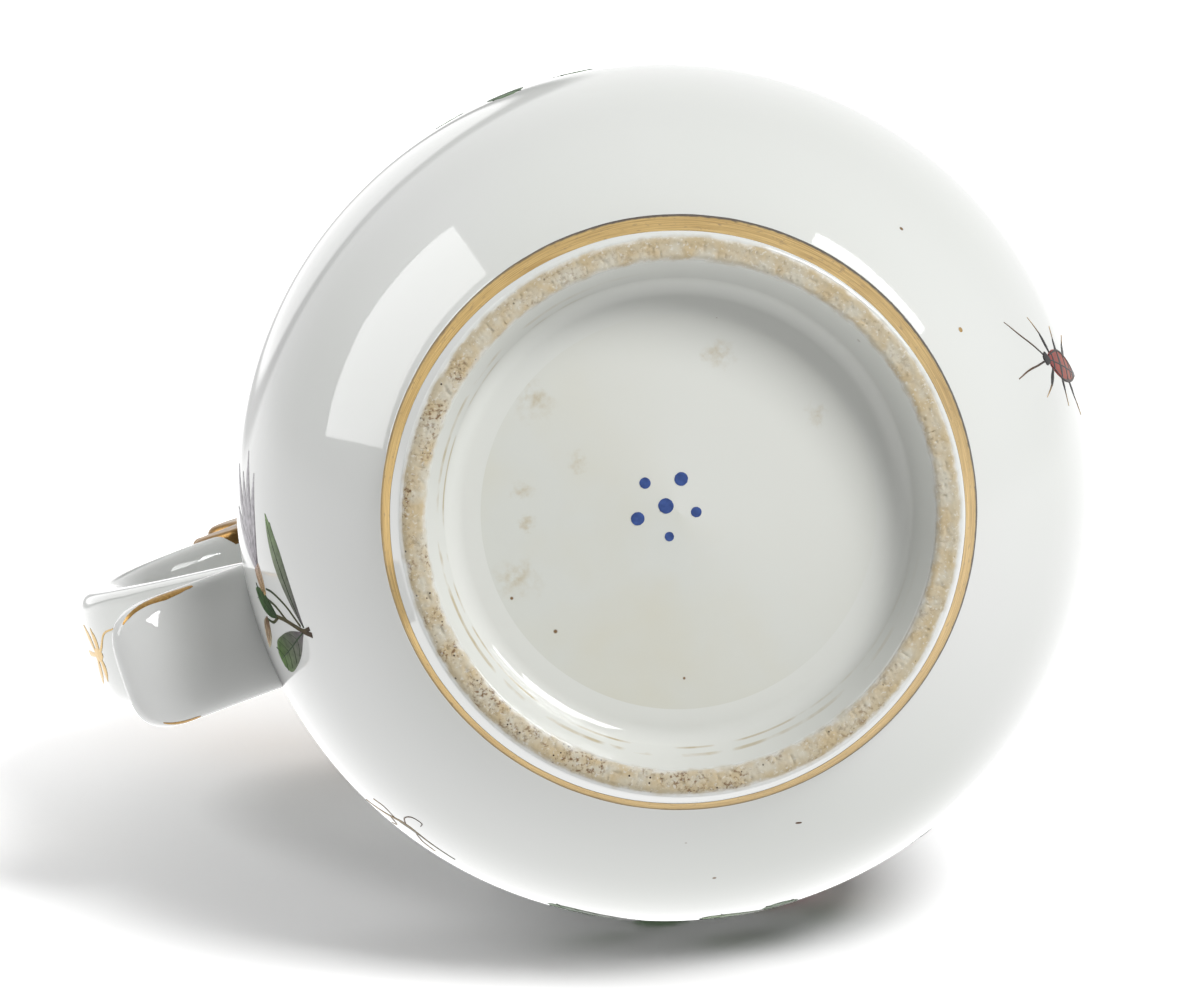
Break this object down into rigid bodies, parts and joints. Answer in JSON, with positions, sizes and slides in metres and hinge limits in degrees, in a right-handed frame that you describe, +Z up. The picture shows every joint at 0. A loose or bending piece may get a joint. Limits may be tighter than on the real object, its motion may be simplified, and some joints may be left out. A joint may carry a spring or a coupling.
{
  "type": "cream jug",
  "caption": "Pear-shaped porcelain cream jug on a foot ring, with a pointed pouring lip, a strap handle with a scrolled thumb rest, and gilt edges.",
  "frame": {"origin": "on the resting plane, under the middle of the bounding box", "axes": "+Z up along the jug's axis, -X towards the handle, +X towards the pouring lip"},
  "size_m": [0.1047, 0.086, 0.119],
  "materials": {
    "glazed_porcelain": "glossy clear glaze over white porcelain, very slightly grey-green",
    "unglazed_porcelain": "bare fired porcelain, matt, with brown kiln grit and stains",
    "gilding": "fired and burnished gold, a little rubbed"
  },
  "bodies": {
    "root": {"body": "glazed_porcelain", "foot_ring": "glazed_porcelain", "unglazed_foot_rim": "unglazed_porcelain", "pouring_lip": "glazed_porcelain", "handle_strap": "glazed_porcelain", "handle_tongue": "glazed_porcelain", "thumb_scroll": "gilding", "gilt_foot_band": "gilding", "gilt_rim": "gilding", "gilt_tongue_line_left": "gilding", "gilt_tongue_line_right": "gilding"}
  },
  "joints": []
}
